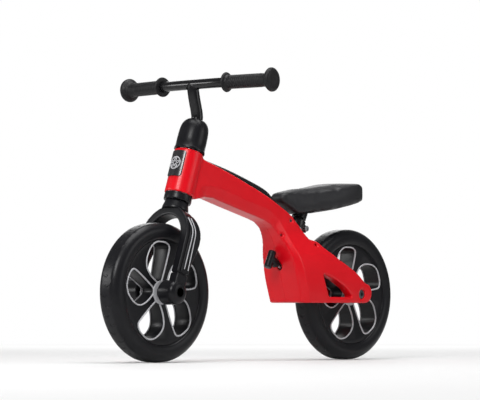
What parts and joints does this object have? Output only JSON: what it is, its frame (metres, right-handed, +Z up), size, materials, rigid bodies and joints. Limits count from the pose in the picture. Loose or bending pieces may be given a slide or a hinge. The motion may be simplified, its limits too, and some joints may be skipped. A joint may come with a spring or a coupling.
{
  "type": "balance bike",
  "caption": "Child's pedal-free balance bike with a moulded beam body, leaned fork, cored foam wheels, adjustable bar and padded saddle.",
  "frame": {"origin": "on the ground, midway between the two axles, in the bike's middle plane", "axes": "+X forward, +Y the rider's left, +Z up"},
  "size_m": [0.77, 0.373, 0.5268],
  "materials": {
    "red_plastic": "satin bright red moulded plastic",
    "matte_black_plastic": "fine matte black moulded plastic",
    "wheel_core_plastic": "satin black plastic with light grey lips round the petal openings",
    "tyre_foam": "smooth satin black foam with shallow curved tread cuts",
    "grey_plastic": "light grey plastic",
    "gloss_black_paint": "gloss black powder paint on steel tube",
    "steel": "plain zinc plated steel",
    "badge": null,
    "grip_rubber": "matte black rubber",
    "seat_vinyl": "soft black grained vinyl over foam"
  },
  "bodies": {
    "frame": {"left_shell": "red_plastic", "right_shell": "red_plastic", "spine_tube": "gloss_black_paint", "head_tube": "steel", "upper_headset_bearing": "steel", "lower_headset_bearing": "steel", "lower_headset_cup": "matte_black_plastic", "badge_plate": "badge", "seat_tube": "steel", "seat_collar": "gloss_black_paint", "seat_collar_bolt": "steel", "body_screw_1": "steel", "body_screw_2": "steel", "body_screw_3": "steel", "rear_axle": "steel", "rear_axle_nut_left": "steel", "rear_axle_nut_right": "steel", "rear_spacer_left": "matte_black_plastic", "rear_spacer_right": "matte_black_plastic"},
    "steering": {"fork": "matte_black_plastic", "crown_collar": "matte_black_plastic", "steerer_tube": "steel", "fork_fairing_left": "matte_black_plastic", "fork_fairing_right": "matte_black_plastic", "axle_boss_left": "matte_black_plastic", "axle_boss_right": "matte_black_plastic", "front_axle": "steel", "front_axle_nut_left": "steel", "front_axle_nut_right": "steel", "front_spacer_left": "matte_black_plastic", "front_spacer_right": "matte_black_plastic", "stem_cover": "matte_black_plastic", "stem_clamp": "steel", "stem_clamp_bolt": "steel"},
    "handlebars": {"stem_post": "gloss_black_paint", "handlebar": "gloss_black_paint", "grip_left": "grip_rubber", "grip_right": "grip_rubber"},
    "front_wheel": {"front_tyre": "tyre_foam", "front_wheel_core": "wheel_core_plastic", "front_bearing_left": "steel", "front_bearing_right": "steel", "front_hub_plate_left": "grey_plastic", "front_hub_plate_right": "grey_plastic"},
    "rear_wheel": {"rear_tyre": "tyre_foam", "rear_wheel_core": "wheel_core_plastic", "rear_bearing_left": "steel", "rear_bearing_right": "steel", "rear_hub_plate_left": "grey_plastic", "rear_hub_plate_right": "grey_plastic"},
    "saddle": {"seat_pad": "seat_vinyl", "seat_base": "matte_black_plastic", "seat_post": "gloss_black_paint"},
    "clamp": {"clamp_shoe": "steel"},
    "knob": {"seat_knob": "matte_black_plastic", "knob_screw": "steel"}
  },
  "joints": [
    {"name": "steering", "type": "hinge", "parent": "frame", "child": "steering", "pos_m": [0.26, 0, 0.125], "axis": [-0.3256, 0, 0.9455], "range_deg": [-55, 55]},
    {"name": "handlebar_height", "type": "slide", "parent": "steering", "child": "handlebars", "axis": [-0.3256, 0, 0.9455], "range_m": [0, 0.04]},
    {"name": "front_wheel_spin", "type": "hinge", "parent": "steering", "child": "front_wheel", "pos_m": [0.26, 0, 0.125], "axis": [0, 1, 0], "continuous": true},
    {"name": "rear_wheel_spin", "type": "hinge", "parent": "frame", "child": "rear_wheel", "pos_m": [-0.26, 0, 0.125], "axis": [0, 1, 0], "continuous": true},
    {"name": "seat_height", "type": "slide", "parent": "frame", "child": "saddle", "axis": [-0.4226, 0, 0.9063], "range_m": [0, 0.05]},
    {"name": "clamp_slide", "type": "slide", "parent": "frame", "child": "clamp", "axis": [0.9063, 0, 0.4226], "range_m": [0, 0.00125]},
    {"name": "knob_turn", "type": "hinge", "parent": "clamp", "child": "knob", "pos_m": [-0.08473, 0, 0.17228], "axis": [0.9063, 0, 0.4226], "range_deg": [0, 360]}
  ],
  "couplings": [
    {"joint": "knob_turn", "follows": "clamp_slide", "rad_per_m": 5026.5}
  ]
}
